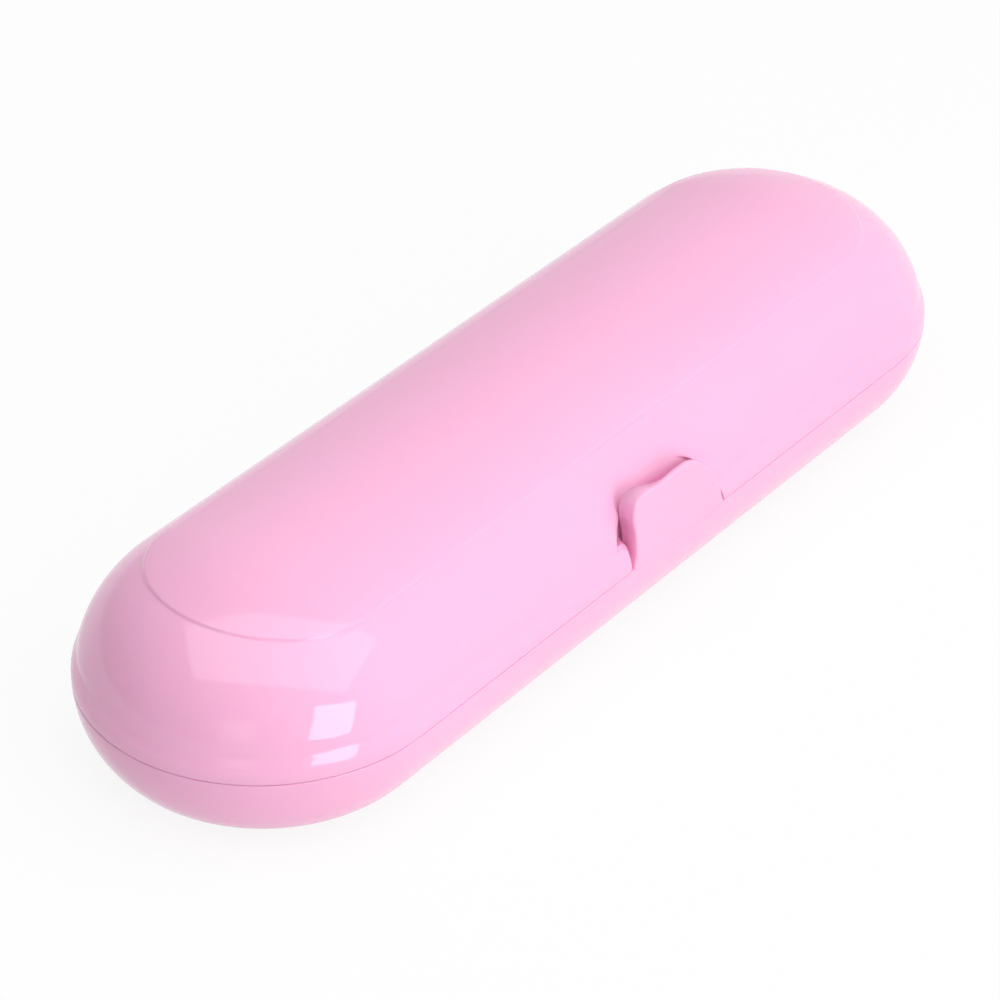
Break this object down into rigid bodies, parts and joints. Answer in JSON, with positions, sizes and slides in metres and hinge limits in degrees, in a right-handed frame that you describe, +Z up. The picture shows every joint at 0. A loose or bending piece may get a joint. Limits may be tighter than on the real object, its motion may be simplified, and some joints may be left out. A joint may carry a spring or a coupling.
{
  "type": "electric toothbrush travel case",
  "caption": "Stadium-shaped hinged travel case for an electric toothbrush, closed by a wavy finger tab, with cradles, clips and ribs inside.",
  "frame": {"origin": "middle of the flat underside, under the centre of the stadium plan", "axes": "+X along the case, -Y towards the latch, +Y towards the hinges, +Z up"},
  "size_m": [0.2136, 0.0735, 0.0405],
  "materials": {
    "base_plastic": "glossy moulded polypropylene, pale pink",
    "lid_plastic": "glossy moulded polypropylene, pale pink",
    "inner_plastic": "satin moulded polypropylene, pale pink",
    "pin_steel": "drawn steel"
  },
  "bodies": {
    "base": {"base_shell": "base_plastic", "hinge_pin_left": "pin_steel", "hinge_pin_right": "pin_steel", "handle_cradle_rear": "inner_plastic", "handle_cradle_front": "inner_plastic", "head_clip_left": "inner_plastic", "head_clip_right": "inner_plastic"},
    "lid": {"lid_shell": "lid_plastic", "lid_rib_rear": "inner_plastic", "lid_rib_front": "inner_plastic"},
    "latch": {"latch_tab": "base_plastic"}
  },
  "joints": [
    {"name": "lid_hinge", "type": "hinge", "parent": "base", "child": "lid", "pos_m": [0, 0.0369, 0.0162], "axis": [-1, 0, 0], "range_deg": [0, 115]},
    {"name": "latch_flex", "type": "hinge", "parent": "base", "child": "latch", "pos_m": [0, -0.034, 0.0162], "axis": [1, 0, 0], "range_deg": [0, 7], "stiffness_Nm_per_rad": 1}
  ]
}
